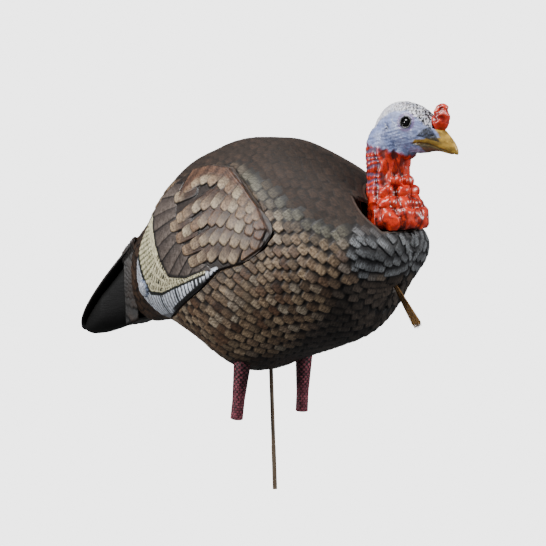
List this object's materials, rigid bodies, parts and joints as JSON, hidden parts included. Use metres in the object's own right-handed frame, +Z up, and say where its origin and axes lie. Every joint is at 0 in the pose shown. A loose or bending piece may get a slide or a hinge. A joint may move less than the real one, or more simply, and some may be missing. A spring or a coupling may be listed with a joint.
{
  "type": "turkey decoy",
  "caption": "Life-size hollow turkey decoy with wings, turning head, plug-in legs, tail and beard, swivelling on a ground stake.",
  "frame": {"origin": "on the stake's axis at its foot", "axes": "+X towards the beak, +Y to the bird's left, +Z up along the stake"},
  "size_m": [0.714, 0.281, 0.593],
  "materials": {
    "body_plastic": "flocked and dry-brushed moulded polyethylene",
    "wing_plastic": "painted moulded polyethylene",
    "tail_plastic": "matt black moulded polyethylene",
    "head_vinyl": "painted soft vinyl, satin to wet gloss",
    "snood_vinyl": "gloss painted soft vinyl",
    "eye_acrylic": "polished black acrylic",
    "leg_plastic": "speckled painted plastic",
    "stake_steel": "dull brown powder coat",
    "nylon": "natural moulded nylon",
    "socket_plastic": "black moulded plastic",
    "screw_steel": "zinc plated",
    "bristle": "coarse natural bristle",
    "ferrule_metal": "crimped, dull",
    "grommet_rubber": "moulded"
  },
  "bodies": {
    "stake": {"stake_lower": "stake_steel", "stake_upper": "stake_steel"},
    "pivot": {"pivot_thimble": "nylon"},
    "body": {"pivot_seat": "nylon", "belly_bush": "nylon", "stake_tube": "socket_plastic", "shell_right": "body_plastic", "shell_left": "body_plastic", "wing_right": "wing_plastic", "wing_left": "wing_plastic", "wing_screws_right": "screw_steel", "wing_screws_left": "screw_steel", "neck_socket": "socket_plastic", "leg_socket_right": "socket_plastic", "leg_socket_left": "socket_plastic", "tail_socket": "socket_plastic", "beard_grommet": "grommet_rubber"},
    "turning_ring": {"neck_ring": "nylon"},
    "head": {"neck_plug": "socket_plastic", "head_neck": "head_vinyl", "snood": "snood_vinyl", "eye_right": "eye_acrylic", "eye_left": "eye_acrylic"},
    "right_leg": {"leg_right": "leg_plastic"},
    "left_leg": {"leg_left": "leg_plastic"},
    "tail": {"tail_fan": "tail_plastic", "undertail": "tail_plastic"},
    "beard": {"beard_bristles": "bristle", "beard_ferrule": "ferrule_metal"}
  },
  "joints": [
    {"name": "body_lift", "type": "slide", "parent": "stake", "child": "pivot", "axis": [0, 0, 1], "range_m": [0, 0.34]},
    {"name": "body_swivel", "type": "hinge", "parent": "pivot", "child": "body", "pos_m": [0, 0, 0.513], "axis": [0, 0, 1], "continuous": true},
    {"name": "head_turn", "type": "hinge", "parent": "body", "child": "turning_ring", "pos_m": [0.223, 0, 0.404], "axis": [0, 0, 1], "range_deg": [-25, 25]},
    {"name": "head_pull", "type": "slide", "parent": "turning_ring", "child": "head", "axis": [0, 0, 1], "range_m": [0, 0.08]},
    {"name": "right_leg_pull", "type": "slide", "parent": "body", "child": "right_leg", "axis": [-0.165, 0, -0.9863], "range_m": [0, 0.07]},
    {"name": "left_leg_pull", "type": "slide", "parent": "body", "child": "left_leg", "axis": [-0.0872, 0, -0.9962], "range_m": [0, 0.07]},
    {"name": "tail_pull", "type": "slide", "parent": "body", "child": "tail", "axis": [-1, 0, 0], "range_m": [0, 0.06]},
    {"name": "beard_pull", "type": "slide", "parent": "body", "child": "beard", "axis": [0.5299, 0, -0.848], "range_m": [0, 0.05]}
  ]
}
